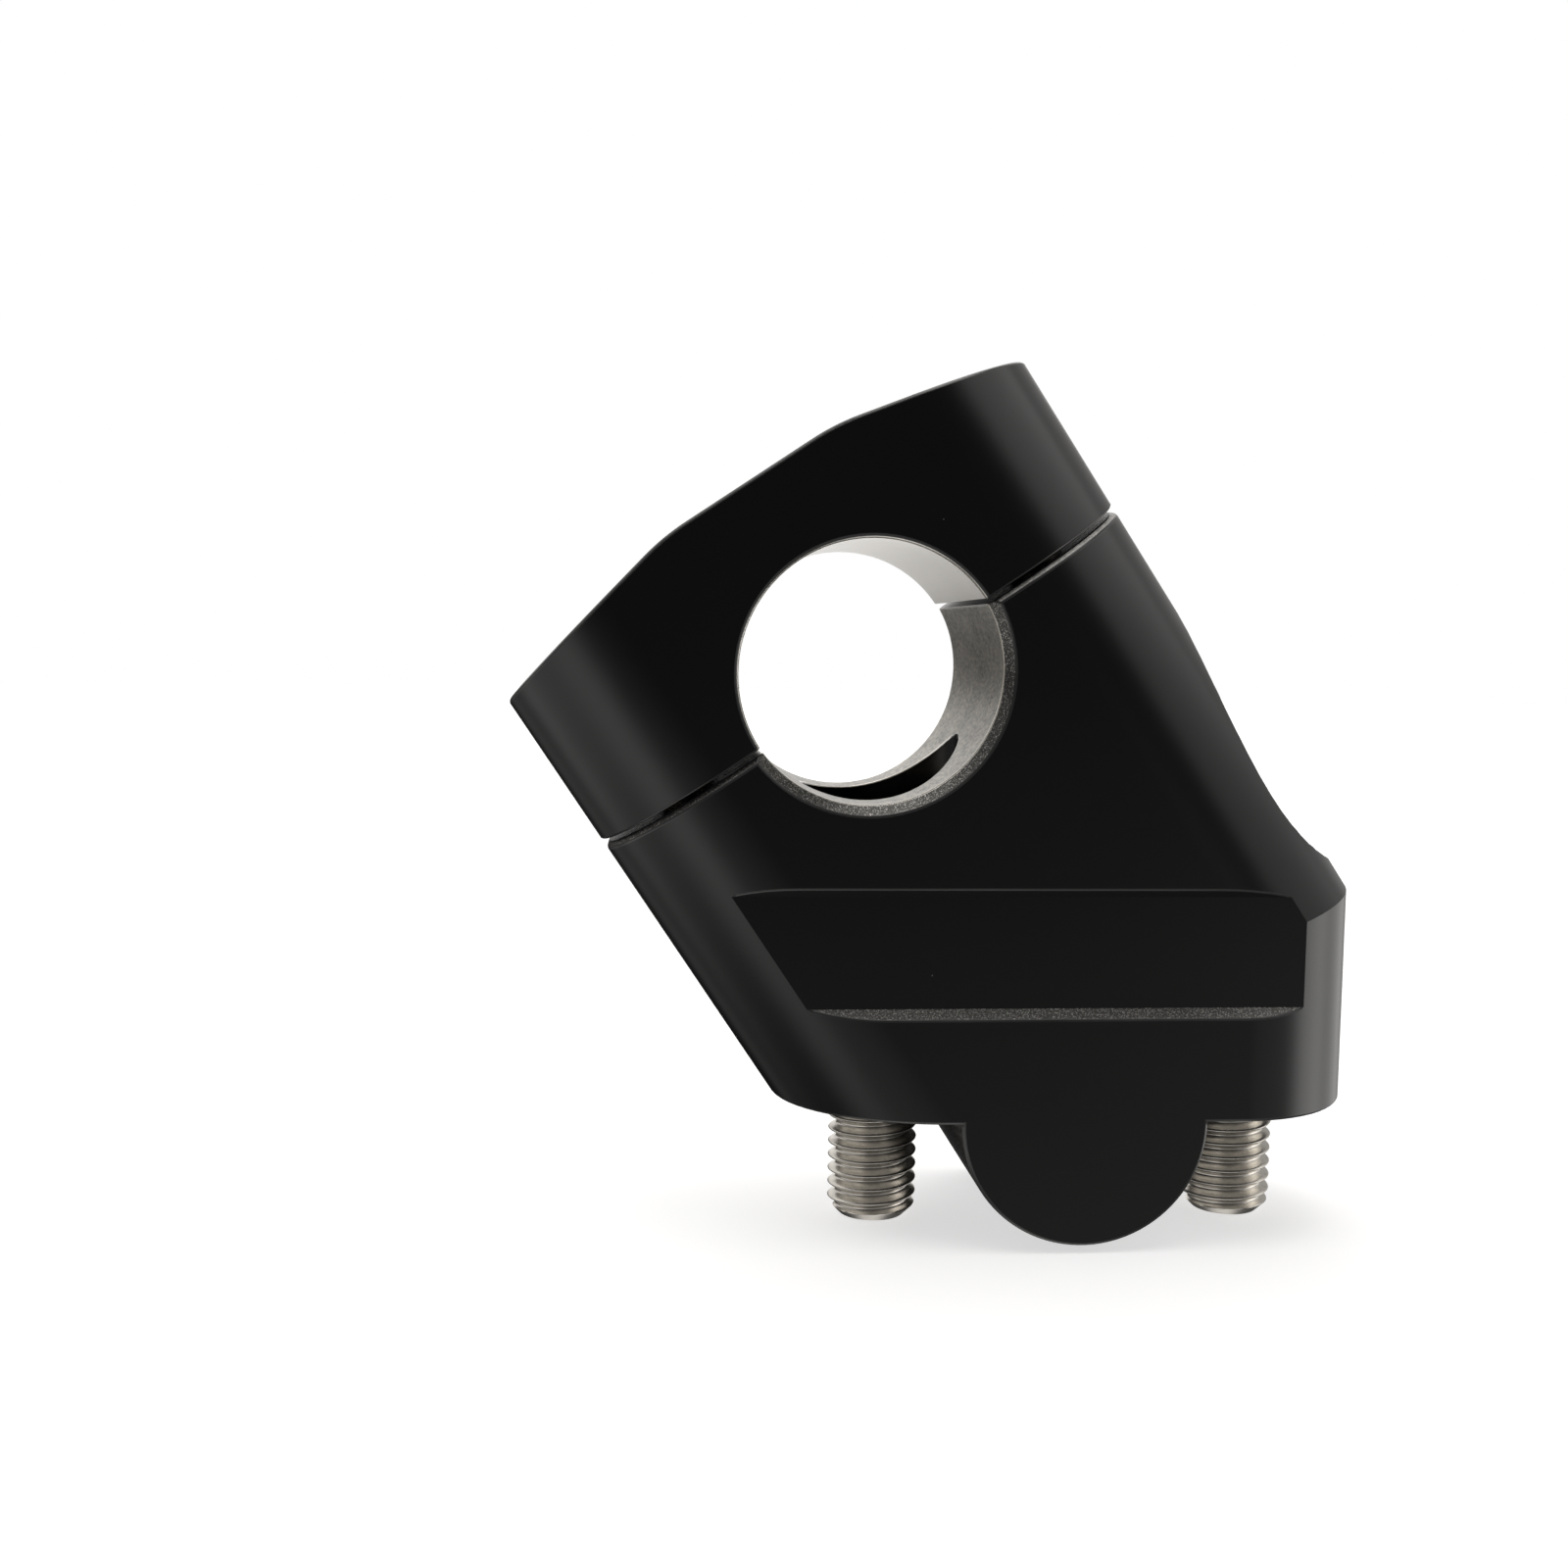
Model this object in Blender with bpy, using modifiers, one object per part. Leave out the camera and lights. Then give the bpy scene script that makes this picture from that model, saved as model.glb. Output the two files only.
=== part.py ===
"""Motorcycle handlebar riser: a leaning block with a split clamp for the bar and two screws to hold it down.

Lengths are metres. The origin is the middle of the base, on the axis of the half-round boss under it.
+Z is up, Y runs along the handlebar, and the column leans towards -X.
"""

from math import cos, degrees, radians, sin, sqrt, tan

import bmesh
import bpy
from mathutils import Matrix, Vector

# Driving sizes
BAR_DIAMETER = 0.0222
RISE = 0.0380
LEAN = radians(34.0)
DEPTH = 0.0240
MOUNT_BOLT_SPACING = 0.0330
EDGE_BREAK = 0.0003
# How far the bar's middle lies past the mounting screw that goes in through its saddle
BAR_PAST_MOUNT_BOLT = 0.0025

# Walls beside the screw holes, which set how wide the clamp, the base and the boss are
BAR_TO_CLAMP_HOLE = 0.0039
CLAMP_HOLE_TO_END = 0.0048
CHANNEL_TO_BASE_END = 0.0015
BOSS_TO_MOUNT_HOLE = 0.0014

# The clamp, measured across the leaning column from the middle of the bar
BODY_SPLIT = -0.00075
CAP_SPLIT = -0.0003
BODY_SPLIT_CHAMFER = 0.00045
CAP_SPLIT_BREAK = 0.00015
CAP_CLOSED_BY = 0.0004
CAP_WALL = 0.0072
CAP_FLAT_HALF = 0.0083
CAP_SHOULDER_FALL = radians(12.5)
CAP_BEND_RADIUS = 0.0200
SADDLE_CHAMFER = 0.0009
CAP_BORE_CHAMFER = 0.00025

# The shallow pocket across both flat sides
POCKET_DEPTH = 0.0011
POCKET_FLOOR_BOTTOM = 0.0097
POCKET_FLOOR_TOP = 0.0192
POCKET_WALL_SPREAD = 0.00075

# The holes for the screws
MOUNT_SEAT_HEIGHT = 0.0135
MOUTH_CHAMFER = 0.0005
CLAMP_HEAD_SINK = 0.0005
CLAMP_HOLE_SPARE = 0.0018
DRILL_POINT = radians(31.0)

# Clearances, all round
SHANK_CLEARANCE = 0.0005
THREAD_CLEARANCE = 0.0003
HEAD_CLEARANCE = 0.0005
CHANNEL_CLEARANCE = 0.0015
SEAT_GAP = 0.0003

# Socket screws: thread diameter, length under the head, head diameter, head height, key size, key depth
M8_BY_25 = (0.0080, 0.0250, 0.0130, 0.0080, 0.0060, 0.0040)
M6_BY_20 = (0.0060, 0.0200, 0.0100, 0.0060, 0.0050, 0.0030)

END_STEPS = 32
BORE_STEPS = 96
HOLE_STEPS = 48
BEND_STEPS = 12
OVERCUT = 0.0020

BLACK_ANODISED = ("black_anodised", (0.012, 0.012, 0.013), 0.38)
STAINLESS = ("stainless", (0.56, 0.54, 0.50), 0.32)

BAR_RADIUS = BAR_DIAMETER / 2
END_RADIUS = DEPTH / 2
CAP_CROWN = BAR_RADIUS + CAP_WALL
SADDLE_BORE_RADIUS = M8_BY_25[2] / 2 + HEAD_CLEARANCE
CHANNEL_RADIUS = M8_BY_25[2] / 2 + CHANNEL_CLEARANCE
CLAMP_HEAD_RADIUS = M6_BY_20[2] / 2 + HEAD_CLEARANCE
MOUNT_HOLE_RADIUS = M8_BY_25[0] / 2 + SHANK_CLEARANCE
CLAMP_HOLE_RADIUS = M6_BY_20[0] / 2 + SHANK_CLEARANCE
CLAMP_BOLT_ACROSS = BAR_RADIUS + BAR_TO_CLAMP_HOLE + CLAMP_HOLE_RADIUS
HALF_CLAMP = CLAMP_BOLT_ACROSS + CLAMP_HOLE_RADIUS + CLAMP_HOLE_TO_END
MOUNT_BOLT_X = MOUNT_BOLT_SPACING / 2
SETBACK = MOUNT_BOLT_X + BAR_PAST_MOUNT_BOLT
BASE_BACK = MOUNT_BOLT_X + CHANNEL_RADIUS + CHANNEL_TO_BASE_END
BOSS_RADIUS = MOUNT_BOLT_X - MOUNT_HOLE_RADIUS - BOSS_TO_MOUNT_HOLE
BAR_CENTRE = Vector((-SETBACK, 0.0, RISE))
# Turns the clamp's own axes, X across the column and Z along it, into the riser's.
CLAMP_FRAME = Matrix.Translation(BAR_CENTRE) @ Matrix.Rotation(-LEAN, 4, "Y")
# Stands a flat outline, drawn in X and Y, up into X and Z.
UPRIGHT = Matrix.Rotation(radians(90.0), 4, "X")


def clear_scene():
    for obj in list(bpy.data.objects):
        bpy.data.objects.remove(obj, do_unlink=True)


def new_collection(name, hidden=False):
    collection = bpy.data.collections.new(name)
    collection.hide_render = hidden
    bpy.context.scene.collection.children.link(collection)
    return collection


def new_material(name, colour, roughness):
    material = bpy.data.materials.new(name)
    material.use_nodes = True
    shader = material.node_tree.nodes["Principled BSDF"]
    shader.inputs["Base Color"].default_value = (*colour, 1.0)
    shader.inputs["Roughness"].default_value = roughness
    shader.inputs["Metallic"].default_value = 1.0
    material.diffuse_color = (*colour, 1.0)
    return material


def new_object(name, mesh, collection, matrix=None):
    obj = bpy.data.objects.new(name, mesh)
    collection.objects.link(obj)
    if matrix is not None:
        obj.matrix_world = matrix
    return obj


def as_cutter(obj):
    obj.hide_render = True
    obj.display_type = "WIRE"
    return obj


def arc(centre, radius, start, end, steps):
    """Points of an arc from angle start to angle end, both in degrees."""
    turn = [radians(start + (end - start) * i / steps) for i in range(steps + 1)]
    return [(centre[0] + radius * cos(a), centre[1] + radius * sin(a)) for a in turn]


def stadium(left, right, radius):
    """A long outline with full-round ends, from x = left to x = right."""
    return arc((right - radius, 0.0), radius, -90, 90, END_STEPS) + arc(
        (left + radius, 0.0), radius, 90, 270, END_STEPS
    )


def outline_solid(name, points, half_thickness, collection, matrix):
    """A flat outline in local X and Y, filled and made thick along local Z, as a welded mesh object."""
    curve = bpy.data.curves.new(name, "CURVE")
    curve.dimensions = "2D"
    curve.fill_mode = "BOTH"
    curve.extrude = half_thickness
    spline = curve.splines.new("POLY")
    spline.points.add(len(points) - 1)
    for point, (x, y) in zip(spline.points, points):
        point.co = (x, y, 0.0, 1.0)
    spline.use_cyclic_u = True
    drawn = new_object(name + "_curve", curve, collection, matrix)
    bpy.context.view_layer.update()
    evaluated = drawn.evaluated_get(bpy.context.evaluated_depsgraph_get())
    mesh = bpy.data.meshes.new_from_object(evaluated)
    mesh.name = name
    bpy.data.objects.remove(drawn, do_unlink=True)
    shape = bmesh.new()
    shape.from_mesh(mesh)
    bmesh.ops.remove_doubles(shape, verts=shape.verts, dist=1e-6)
    bmesh.ops.recalc_face_normals(shape, faces=shape.faces)
    shape.to_mesh(mesh)
    shape.free()
    return new_object(name, mesh, collection, matrix)


def turned_solid(name, profile, steps, collection, matrix):
    """A profile of (radius, height) pairs, read from the top down, turned about local Z."""
    mesh = bpy.data.meshes.new(name)
    mesh.from_pydata([(r, 0.0, z) for r, z in profile], [(i, i + 1) for i in range(len(profile) - 1)], [])
    obj = new_object(name, mesh, collection, matrix)
    turn = obj.modifiers.new("turn", "SCREW")
    turn.steps = steps
    turn.render_steps = steps
    turn.use_merge_vertices = True
    turn.merge_threshold = 1e-6
    return obj


def bore_cutter(name, radius, chamfer, collection, matrix):
    """A cylinder through the clamp from side to side, flared by the chamfer at both flat sides."""
    reach = END_RADIUS + OVERCUT
    flared = radius + chamfer + OVERCUT
    half = [(0.0, reach), (flared, reach), (radius, END_RADIUS - chamfer)]
    profile = half + [(r, -z) for r, z in reversed(half)]
    return as_cutter(turned_solid(name, profile, BORE_STEPS, collection, matrix @ UPRIGHT))


def boolean(obj, operation, other):
    cut = obj.modifiers.new(operation.lower() + "_" + other.name, "BOOLEAN")
    cut.operation = operation
    cut.solver = "EXACT"
    cut.object = other


def apply_modifiers(obj):
    bpy.context.view_layer.update()
    evaluated = obj.evaluated_get(bpy.context.evaluated_depsgraph_get())
    mesh = bpy.data.meshes.new_from_object(evaluated)
    mesh.name = obj.name
    obj.modifiers.clear()
    obj.data = mesh


def break_edges(obj, is_chosen, size=EDGE_BREAK, steps=2):
    """Rounds or chamfers the sharp outer edges that is_chosen(start, end) picks, in world space."""
    shape = bmesh.new()
    shape.from_mesh(obj.data)
    shape.transform(obj.matrix_world)
    bmesh.ops.remove_doubles(shape, verts=shape.verts, dist=1e-6)
    bmesh.ops.dissolve_limit(
        shape, angle_limit=radians(0.5), use_dissolve_boundaries=False, verts=shape.verts, edges=shape.edges
    )
    edges = [
        edge
        for edge in shape.edges
        if edge.is_convex
        and edge.calc_face_angle(0.0) > radians(40.0)
        and is_chosen(edge.verts[0].co, edge.verts[1].co)
    ]
    bmesh.ops.bevel(
        shape, geom=edges, offset=size, offset_type="OFFSET", segments=steps, profile=0.5,
        affect="EDGES", clamp_overlap=True,
    )
    shape.transform(obj.matrix_world.inverted())
    shape.to_mesh(obj.data)
    shape.free()


def finish(obj, material):
    obj.data.materials.clear()
    obj.data.materials.append(material)
    obj.data.shade_smooth()
    obj.data.set_sharp_from_angle(angle=radians(30.0))
    # Large flat faces keep their own shading next to the round ones that run into them.
    shading = obj.modifiers.new("face_weighted_normals", "WEIGHTED_NORMAL")
    shading.keep_sharp = True


def cap_outline():
    """The cap seen along the bar: flat underside, upright sides, two falling shoulders and a flat crown."""
    shoulder = CAP_CROWN - (HALF_CLAMP - CAP_FLAT_HALF) * tan(CAP_SHOULDER_FALL)
    # Each bend is an arc that meets the crown and the shoulder smoothly.
    start = CAP_FLAT_HALF - CAP_BEND_RADIUS * tan(CAP_SHOULDER_FALL / 2)
    centre = (start, CAP_CROWN - CAP_BEND_RADIUS)
    bend = arc(centre, CAP_BEND_RADIUS, 90 - degrees(CAP_SHOULDER_FALL), 90, BEND_STEPS)
    right = [(HALF_CLAMP, CAP_SPLIT), (HALF_CLAMP, shoulder)] + bend
    return right + [(-x, y) for x, y in reversed(right)]


def mount_hole_cutter(name, head_radius, head_room, collection, x):
    """Clearance hole up from the base with a wider bore above it for the screw's head and the key."""
    profile = [
        (0.0, head_room),
        (head_radius, head_room),
        (head_radius, MOUNT_SEAT_HEIGHT),
        (MOUNT_HOLE_RADIUS, MOUNT_SEAT_HEIGHT),
        (MOUNT_HOLE_RADIUS, MOUTH_CHAMFER),
        (MOUNT_HOLE_RADIUS + MOUTH_CHAMFER + OVERCUT, -OVERCUT),
        (0.0, -OVERCUT),
    ]
    return as_cutter(turned_solid(name, profile, HOLE_STEPS, collection, Matrix.Translation((x, 0.0, 0.0))))


def clamp_seat_height(across):
    """Height of the clamp screw's seat in the cap, so that its head ends just under the shoulder."""
    shoulder = CAP_CROWN - (across + CLAMP_HEAD_RADIUS - CAP_FLAT_HALF) * tan(CAP_SHOULDER_FALL)
    return shoulder - CLAMP_HEAD_SINK - M6_BY_20[3]


def tapped_hole_cutter(name, collection, across):
    """Blind hole down the column for a clamp screw, ending in a drill point."""
    radius = M6_BY_20[0] / 2 + THREAD_CLEARANCE
    bottom = clamp_seat_height(abs(across)) - M6_BY_20[1] - CLAMP_HOLE_SPARE
    profile = [
        (0.0, BODY_SPLIT + OVERCUT),
        (radius + MOUTH_CHAMFER + OVERCUT, BODY_SPLIT + OVERCUT),
        (radius, BODY_SPLIT - MOUTH_CHAMFER),
        (radius, bottom),
        (0.0, bottom - radius * tan(DRILL_POINT)),
    ]
    place = CLAMP_FRAME @ Matrix.Translation((across, 0.0, 0.0))
    return as_cutter(turned_solid(name, profile, HOLE_STEPS, collection, place))


def cap_hole_cutter(name, collection, across):
    """Clearance hole through the cap with a counterbore from above for the screw's head."""
    seat = clamp_seat_height(abs(across))
    profile = [
        (0.0, CAP_CROWN + OVERCUT),
        (CLAMP_HEAD_RADIUS, CAP_CROWN + OVERCUT),
        (CLAMP_HEAD_RADIUS, seat),
        (CLAMP_HOLE_RADIUS, seat),
        (CLAMP_HOLE_RADIUS, CAP_SPLIT - OVERCUT),
        (0.0, CAP_SPLIT - OVERCUT),
    ]
    place = CLAMP_FRAME @ Matrix.Translation((across, 0.0, 0.0))
    return as_cutter(turned_solid(name, profile, HOLE_STEPS, collection, place))


def pocket_cutters(collection):
    """Two long prisms, one for each flat side, whose upper and lower walls spread towards the outside."""
    slope = POCKET_WALL_SPREAD / POCKET_DEPTH
    floor = END_RADIUS - POCKET_DEPTH
    outside = END_RADIUS + OVERCUT
    spread = (outside - floor) * slope
    section = [
        (floor, POCKET_FLOOR_BOTTOM),
        (outside, POCKET_FLOOR_BOTTOM - spread),
        (outside, POCKET_FLOOR_TOP + spread),
        (floor, POCKET_FLOOR_TOP),
    ]
    # The section is drawn in Y and Z and pulled along X, past both ends of the base.
    along_x = Matrix(((0, 0, 1, 0), (1, 0, 0, 0), (0, 1, 0, 0), (0, 0, 0, 1)))
    other_side = Matrix.Rotation(radians(180.0), 4, "Z")
    length = 2 * HALF_CLAMP
    return [
        as_cutter(outline_solid("pocket_back", section, length, collection, along_x)),
        as_cutter(outline_solid("pocket_front", section, length, collection, other_side @ along_x)),
    ]


def column(name, bottom, top, collection):
    """The leaning column with full-round ends, between two heights along its own axis."""
    points = stadium(-HALF_CLAMP, HALF_CLAMP, END_RADIUS)
    middle = Matrix.Translation((0.0, 0.0, (bottom + top) / 2))
    return outline_solid(name, points, (top - bottom) / 2, collection, CLAMP_FRAME @ middle)


def on_split(height):
    """Test for an edge that lies in the split, at this height along the column."""
    to_clamp = CLAMP_FRAME.inverted()
    return lambda a, b: all(abs((to_clamp @ v).z - height) < 1e-5 for v in (a, b))


def make_body(parts, cutters, material):
    body = column("riser_body", -2 * RISE, BODY_SPLIT, parts)

    # The base is cut flat, and its back end stands upright with the same full-round form.
    upright_points = stadium(-6 * HALF_CLAMP, BASE_BACK, END_RADIUS)
    standing = outline_solid(
        "base_limit", upright_points, 2 * RISE, cutters, Matrix.Translation((0.0, 0.0, 2 * RISE))
    )
    boolean(body, "INTERSECT", as_cutter(standing))
    apply_modifiers(body)

    # The outline's corners lie half a step above and below the base, and none in its plane.
    half_step = 180 / BORE_STEPS
    boss_outline = arc((0.0, 0.0), BOSS_RADIUS, half_step, 360 - half_step, BORE_STEPS - 1)
    boss = outline_solid("boss", boss_outline, END_RADIUS, cutters, UPRIGHT)
    boolean(body, "UNION", as_cutter(boss))
    apply_modifiers(body)

    def at_base_or_boss(a, b):
        at_base = abs(a.z) < 1e-5 and abs(b.z) < 1e-5
        on_boss = a.z < 1e-5 and b.z < 1e-5 and abs(a.y - b.y) < 1e-6
        return at_base or on_boss

    break_edges(body, at_base_or_boss)
    break_edges(body, on_split(BODY_SPLIT), BODY_SPLIT_CHAMFER, 1)

    boolean(body, "DIFFERENCE", bore_cutter("saddle_bore", BAR_RADIUS, SADDLE_CHAMFER, cutters, CLAMP_FRAME))
    for pocket in pocket_cutters(cutters):
        boolean(body, "DIFFERENCE", pocket)
    for name, radius, head_room, x in (
        ("saddle_hole", SADDLE_BORE_RADIUS, RISE, -MOUNT_BOLT_X),
        ("channel_hole", CHANNEL_RADIUS, 2 * RISE, MOUNT_BOLT_X),
    ):
        boolean(body, "DIFFERENCE", mount_hole_cutter(name, radius, head_room, cutters, x))
    for name, across in clamp_places("tapped_hole"):
        boolean(body, "DIFFERENCE", tapped_hole_cutter(name, cutters, across))
    apply_modifiers(body)
    finish(body, material)


def make_cap(parts, cutters, material):
    cap = outline_solid("clamp_cap", cap_outline(), END_RADIUS, parts, CLAMP_FRAME @ UPRIGHT)
    ends = as_cutter(column("cap_ends", CAP_SPLIT - OVERCUT, CAP_CROWN + OVERCUT, cutters))
    boolean(cap, "INTERSECT", ends)
    apply_modifiers(cap)
    at_split = on_split(CAP_SPLIT)
    break_edges(cap, lambda a, b: not at_split(a, b))
    break_edges(cap, at_split, CAP_SPLIT_BREAK)
    closed = CLAMP_FRAME @ Matrix.Translation((0.0, 0.0, -CAP_CLOSED_BY))
    boolean(cap, "DIFFERENCE", bore_cutter("cap_bore", BAR_RADIUS, CAP_BORE_CHAMFER, cutters, closed))
    for name, across in clamp_places("cap_hole"):
        boolean(cap, "DIFFERENCE", cap_hole_cutter(name, cutters, across))
    apply_modifiers(cap)
    finish(cap, material)


def clamp_places(stem):
    """Name and place across the column of each of the two things that the clamp screws need."""
    return [(stem + "_lower", -CLAMP_BOLT_ACROSS), (stem + "_upper", CLAMP_BOLT_ACROSS)]


def make_screw(name, sizes, seat, parts, cutters, material):
    """A socket screw whose head rests on the seat matrix's origin and whose shank points down its Z."""
    thread, length, head, head_height, key, key_depth = sizes
    round_over = head_height * 0.08
    tip = thread * 0.13
    profile = [
        (0.0, head_height),
        (head / 2 - round_over, head_height),
        (head / 2, head_height - round_over),
        (head / 2, EDGE_BREAK),
        (head / 2 - EDGE_BREAK, 0.0),
        (thread / 2, 0.0),
        (thread / 2, tip - length),
        (thread / 2 - tip, -length),
        (0.0, -length),
    ]
    screw = turned_solid(name, profile, HOLE_STEPS, parts, seat)
    top = seat @ Vector((0.0, 0.0, head_height))
    bpy.ops.mesh.primitive_cylinder_add(
        vertices=6, radius=key / sqrt(3.0), depth=2 * key_depth, location=top, rotation=seat.to_euler()
    )
    socket = as_cutter(bpy.context.object)
    socket.name = name + "_socket"
    for owner in list(socket.users_collection):
        owner.objects.unlink(socket)
    cutters.objects.link(socket)
    boolean(screw, "DIFFERENCE", socket)
    apply_modifiers(screw)
    finish(screw, material)


def main():
    clear_scene()
    parts = new_collection("motorcycle_bar_riser")
    cutters = new_collection("cutters", hidden=True)
    black = new_material(*BLACK_ANODISED)
    stainless = new_material(*STAINLESS)

    make_body(parts, cutters, black)
    make_cap(parts, cutters, black)
    seat_height = MOUNT_SEAT_HEIGHT + SEAT_GAP
    for name, x in (("mount_bolt_saddle", -MOUNT_BOLT_X), ("mount_bolt_channel", MOUNT_BOLT_X)):
        seat = Matrix.Translation((x, 0.0, seat_height))
        make_screw(name, M8_BY_25, seat, parts, cutters, stainless)
    for name, across in clamp_places("clamp_bolt"):
        height = clamp_seat_height(abs(across)) + SEAT_GAP
        seat = CLAMP_FRAME @ Matrix.Translation((across, 0.0, height))
        make_screw(name, M6_BY_20, seat, parts, cutters, stainless)


main()
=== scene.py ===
"""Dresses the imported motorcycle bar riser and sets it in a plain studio.

Lengths are metres in the riser's own frame: the origin is the middle of the base, Z is up,
Y runs along the handlebar and the column leans towards -X.
"""

import logging
from dataclasses import dataclass
from enum import Enum
from math import cos, pi, radians, sin, sqrt, tan
from typing import Sequence

import bmesh
import bpy
import numpy as np
from mathutils import Matrix, Vector


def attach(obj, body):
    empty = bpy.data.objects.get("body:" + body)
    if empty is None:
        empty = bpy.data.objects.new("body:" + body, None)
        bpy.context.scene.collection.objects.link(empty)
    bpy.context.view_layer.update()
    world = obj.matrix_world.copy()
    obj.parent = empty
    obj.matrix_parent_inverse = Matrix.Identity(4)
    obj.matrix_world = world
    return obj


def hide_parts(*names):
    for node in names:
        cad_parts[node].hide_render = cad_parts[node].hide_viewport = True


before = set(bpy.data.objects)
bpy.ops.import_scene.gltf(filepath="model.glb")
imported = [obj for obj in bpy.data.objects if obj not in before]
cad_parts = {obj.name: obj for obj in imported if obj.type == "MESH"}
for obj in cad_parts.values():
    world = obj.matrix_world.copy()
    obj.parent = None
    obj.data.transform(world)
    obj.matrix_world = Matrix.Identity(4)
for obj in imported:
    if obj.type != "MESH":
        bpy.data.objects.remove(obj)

logging.basicConfig(level=logging.INFO, format="%(message)s")
log = logging.getLogger("riser")

Array = np.ndarray
Colour = tuple[float, float, float, float]
Pair = tuple[float, float]
Triple = tuple[float, float, float]
Socket = bpy.types.NodeSocket
Value = Socket | float | tuple[float, ...]
MM = 0.001
WHITE = (1.0, 1.0, 1.0, 1.0)
# Play that the solids have under each screw's head
HEAD_GAP = 0.3 * MM


class Side(Enum):
    """Which side of a round wall the metal is on."""

    OUTER = 1.0
    HOLE = -1.0


class Cut(Enum):
    """How a wall was cut. A chamfer, the split and the bar's bore have a face mask of that name."""

    SKIN = "skin"
    CHAMFER = "chamfer"
    SPLIT = "split"
    BAR_BORE = "bar_bore"
    HOLE = "hole"


class Ramp(Enum):
    """How a Map Range node runs between its ends. The values are Blender's words."""

    STRAIGHT = "LINEAR"
    SMOOTH = "SMOOTHSTEP"


@dataclass(frozen=True)
class ClampAxes:
    """The clamp's own axes: across the leaning column, along the bar, and up the column."""

    bar_x: float = -19.0 * MM
    bar_z: float = 38.0 * MM
    lean: float = radians(34.0)

    def across(self) -> Array:
        """Unit vector across the column, towards the channel side."""
        return np.array((cos(self.lean), 0.0, sin(self.lean)))

    def up(self) -> Array:
        """Unit vector up the column."""
        return np.array((-sin(self.lean), 0.0, cos(self.lean)))

    def point(self, across: float, up: float) -> Array:
        """Place of a point given across and up the column from the middle of the bar."""
        middle = np.array((self.bar_x, 0.0, self.bar_z))
        return middle + across * self.across() + up * self.up()

    def matrix(self, across: float, up: float) -> Matrix:
        """Matrix that sets a screw's own axes, Z along the shank, at a place on the column."""
        return Matrix.Translation(Vector(self.point(across, up))) @ Matrix.Rotation(-self.lean, 4, "Y")


@dataclass(frozen=True)
class FlatWall:
    """A milled flat, given by a point on it and the way it faces."""

    point: Array
    facing: Array
    cut: Cut = Cut.SKIN

    def measure(self, points: Array) -> tuple[Array, Array]:
        """Distance of each point from the flat, along its normal, and the normal at each."""
        facing = self.facing / np.linalg.norm(self.facing)
        return (points - self.point) @ facing, np.broadcast_to(facing, points.shape)


@dataclass(frozen=True)
class RoundWall:
    """A turned or bored wall about an axis, a cone if its radius grows along the axis."""

    point: Array
    axis: Array
    radius: float
    side: Side = Side.OUTER
    growth: float = 0.0
    cut: Cut = Cut.SKIN

    def measure(self, points: Array) -> tuple[Array, Array]:
        """Distance of each point from the wall, and the wall's normal there.

        With h along the axis and r away from it, the wall is r = radius + growth * h. The normal
        is the radial way less growth times the axis, made one long, and turned in for a hole.

        Args:
            points: n by 3 places.

        Returns:
            n distances and n by 3 normals.
        """
        away = points - self.point
        height = away @ self.axis
        radial = away - height[:, None] * self.axis
        reach = np.linalg.norm(radial, axis=1)
        slant = sqrt(1.0 + self.growth**2)
        gap = (reach - self.radius - self.growth * height) / slant
        way = radial / np.maximum(reach, 1e-9)[:, None]
        return gap, self.side.value * (way - self.growth * self.axis) / slant


Wall = FlatWall | RoundWall
X_AXIS, Y_AXIS, Z_AXIS = np.eye(3)


def bored(point: Array, axis: Array, radius: float, cut: Cut = Cut.HOLE, growth: float = 0.0) -> RoundWall:
    """Wall of a hole, or of a countersink that grows along the axis."""
    return RoundWall(point, axis, radius, Side.HOLE, growth, cut)


def unit(vectors: Array) -> Array:
    """Makes each row of an array of vectors one long."""
    return vectors / np.maximum(np.linalg.norm(vectors, axis=1), 1e-12)[:, None]


def mesh_object(name: str, mesh: bpy.types.Mesh) -> bpy.types.Object:
    """Links a new object with this mesh to the scene.

    Args:
        name: the piece's name.
        mesh: its mesh, already in the riser's frame.

    Returns:
        The new object, at the origin.
    """
    made = bpy.data.objects.new(name, mesh)
    bpy.context.scene.collection.objects.link(made)
    return made


def dressed_piece(node: str, mesh: bpy.types.Mesh) -> bpy.types.Object:
    """Makes the piece that stands for a CAD node and rides on the root body.

    Args:
        node: the node's name.
        mesh: the piece's mesh, which also gives its name.

    Returns:
        The piece.
    """
    piece = mesh_object(mesh.name, mesh)
    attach(piece, "root")
    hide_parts(node)
    log.info("%s: %d faces", piece.name, len(mesh.polygons))
    return piece


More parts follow.
